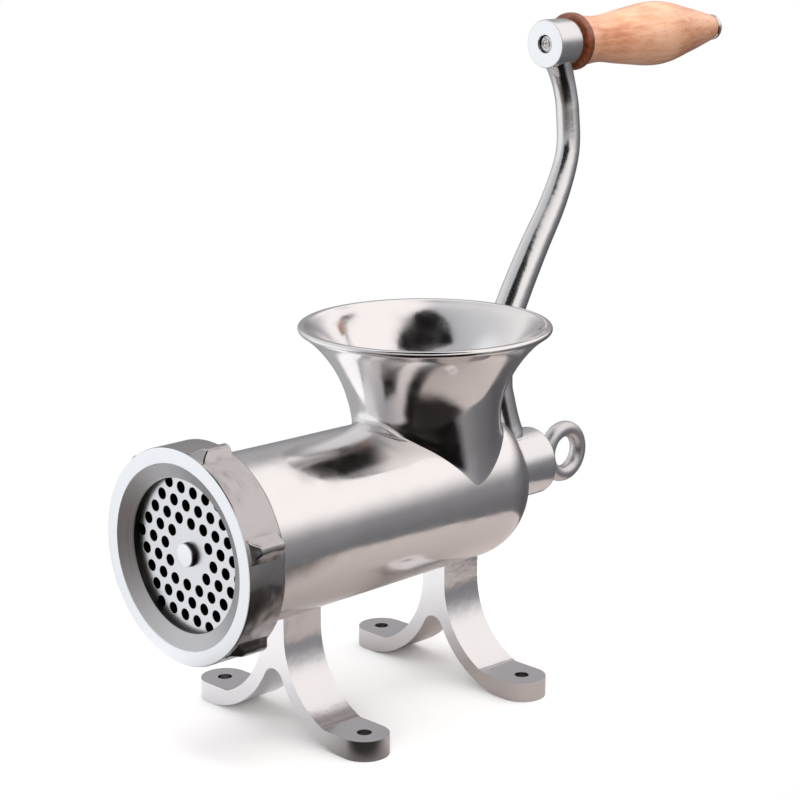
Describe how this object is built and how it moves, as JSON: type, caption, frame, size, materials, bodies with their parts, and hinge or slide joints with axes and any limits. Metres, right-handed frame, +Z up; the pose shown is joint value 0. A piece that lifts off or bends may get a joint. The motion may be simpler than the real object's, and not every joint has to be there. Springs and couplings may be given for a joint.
{
  "type": "hand crank meat grinder",
  "caption": "Polished stainless hand crank grinder: horizontal barrel with perforated plate and ring nut, trumpet hopper, splayed bolt-down legs, curved crank with a turned wooden grip.",
  "frame": {"origin": "centre of the four foot bolt holes, on the underside of the feet", "axes": "+Z up; +Y along the barrel axis from the grinding plate to the crank, so the plate faces -Y; +X completes the frame"},
  "size_m": [0.1128, 0.3736, 0.2944],
  "materials": {
    "polished_stainless": "mirror-polished cast stainless steel",
    "turned_stainless": "fine-turned stainless steel, satin faces with circular tool lines",
    "ground_stainless": "surface-ground stainless steel, satin",
    "cast_stainless": "tumbled cast stainless steel",
    "forged_stainless": "tumbled forged stainless steel, soft gloss",
    "nickel_plated_steel": "bright nickel plate",
    "bronze": "turned bronze",
    "nylon": "natural nylon",
    "stained_beech": "turned beech, dark red-brown stain, varnished",
    "varnished_beech": "turned beech, clear varnish"
  },
  "bodies": {
    "grinder": {"body_casting": "polished_stainless", "front_legs": "polished_stainless", "rear_legs": "polished_stainless", "plate_key_pin": "turned_stainless", "rear_bush": "bronze", "thrust_washer": "nylon", "grinding_plate": "ground_stainless"},
    "nut": {"ring_nut": "turned_stainless"},
    "crank": {"feed_screw": "cast_stainless", "cutter_stud": "turned_stainless", "cutter_knife": "ground_stainless", "crank_arm": "polished_stainless", "grip_bolt": "nickel_plated_steel", "grip_washer": "forged_stainless"},
    "eye": {"eye_screw": "forged_stainless"},
    "grip": {"wooden_grip": "varnished_beech", "grip_collar": "stained_beech"}
  },
  "joints": [
    {"name": "crank_turn", "type": "hinge", "parent": "grinder", "child": "crank", "pos_m": [0, 0, 0.0895], "axis": [0, 1, 0], "continuous": true},
    {"name": "ring_nut_turn", "type": "hinge", "parent": "grinder", "child": "nut", "pos_m": [0, -0.1005, 0.0895], "axis": [0, -1, 0], "range_deg": [0, 1170]},
    {"name": "eye_screw_turn", "type": "hinge", "parent": "crank", "child": "eye", "pos_m": [0, 0.11, 0.0895], "axis": [0, 1, 0], "range_deg": [0, 3690]},
    {"name": "grip_spin", "type": "hinge", "parent": "crank", "child": "grip", "pos_m": [-0.02662, 0.2, 0.27894], "axis": [0, 1, 0], "continuous": true}
  ]
}
